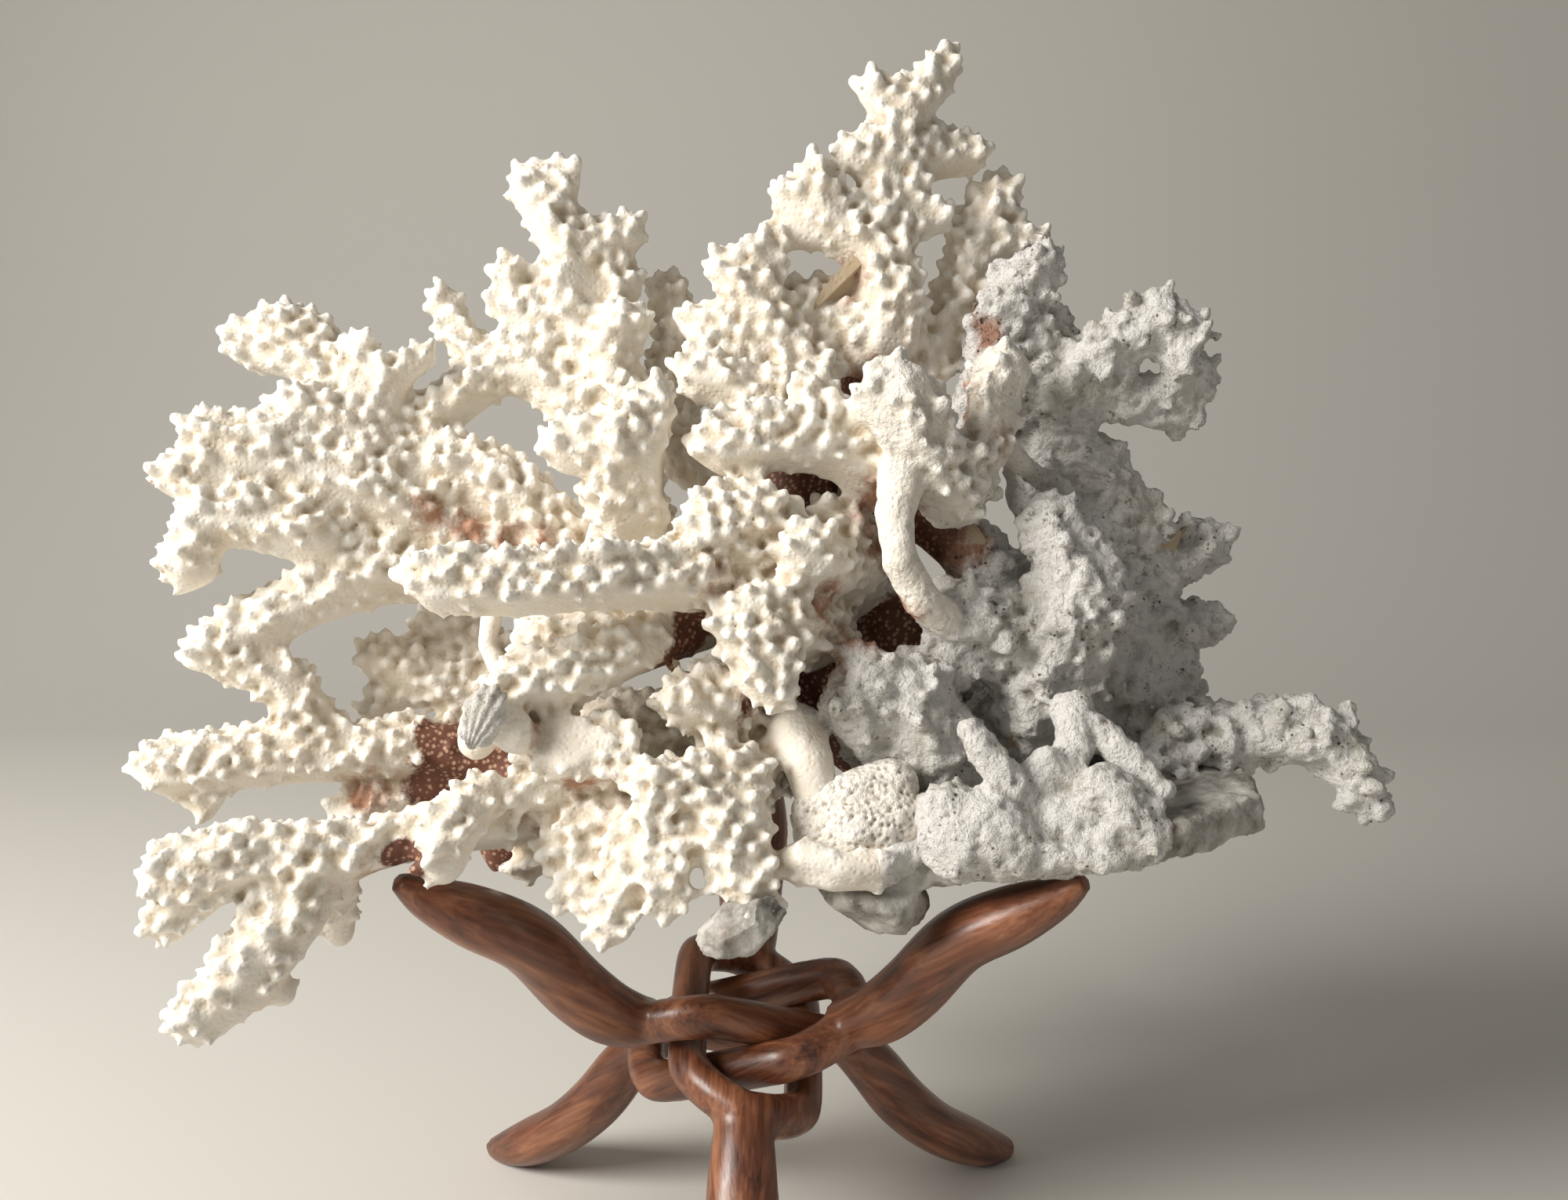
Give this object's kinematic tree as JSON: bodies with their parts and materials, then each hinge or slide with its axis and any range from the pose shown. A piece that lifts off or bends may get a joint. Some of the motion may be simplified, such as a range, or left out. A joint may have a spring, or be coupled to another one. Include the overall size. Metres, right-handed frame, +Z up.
{
  "type": "branching coral on stand",
  "caption": "Knobbly branching coral colony lying on a carved wooden stand of interlocked pointed links, for display on a shelf.",
  "frame": {"origin": "middle of the bottom of the whole object's box, on the floor under the stand", "axes": "+Z up, +X to the right and +Y to the rear as seen from the front, where the rear link's foot points forward"},
  "size_m": [0.2968, 0.1822, 0.2974],
  "materials": {
    "pale_coral": "matt, fine grained",
    "brown_coral_skin": "matt, with pale raised cups",
    "dead_coral": "chalky, pitted",
    "reef_rock": "rough",
    "stand_wood": "polished"
  },
  "bodies": {
    "root": {"stand_link_rear": "stand_wood", "stand_link_left": "stand_wood", "stand_link_right": "stand_wood", "base_plate": "reef_rock", "trunk": "brown_coral_skin", "stem_left": "brown_coral_skin", "stem_up": "brown_coral_skin", "stem_upper_left": "brown_coral_skin", "dead_trunk": "dead_coral", "arm_left_long": "pale_coral", "branch_left_mid": "pale_coral", "club_left": "pale_coral", "branch_left_high": "pale_coral", "club_upper_left": "pale_coral", "stub_left_rear": "pale_coral", "branch_upper_left": "pale_coral", "tall_left": "pale_coral", "ridge_mid_left": "pale_coral", "branch_up_centre": "pale_coral", "column_upper": "pale_coral", "crown_top": "pale_coral", "crown_left": "pale_coral", "branch_upper_right": "pale_coral", "knobs_centre_high": "pale_coral", "dead_column": "dead_coral", "arm_upper_right": "dead_coral", "dead_wall": "dead_coral", "blade_right": "dead_coral", "dead_front": "dead_coral", "dead_shoulder": "dead_coral", "arm_right": "dead_coral", "cluster_right_centre": "dead_coral", "worm_pillar": "dead_coral", "column_front": "pale_coral", "branch_front_long": "pale_coral", "mass_centre": "pale_coral", "lobes_centre": "pale_coral", "branch_front_low": "pale_coral", "lobes_low_centre": "pale_coral", "body_low_front": "pale_coral", "broken_branch": "pale_coral", "fingers_low_left": "pale_coral", "fingers_low_right": "pale_coral", "pillar_smooth": "pale_coral", "arm_low_front": "pale_coral", "arm_low_down": "pale_coral", "grey_centre": "dead_coral", "honeycomb_mound": "dead_coral", "lump_round": "dead_coral", "knobs_smooth": "dead_coral", "lumps_encrusted": "dead_coral", "rear_low": "pale_coral", "rear_low_left": "pale_coral", "rear_mid_left": "pale_coral", "rear_high_left": "pale_coral", "rear_high": "pale_coral", "rear_mid": "pale_coral", "rear_right": "dead_coral", "rear_right_low": "dead_coral", "rock_chip": "reef_rock"}
  },
  "joints": []
}
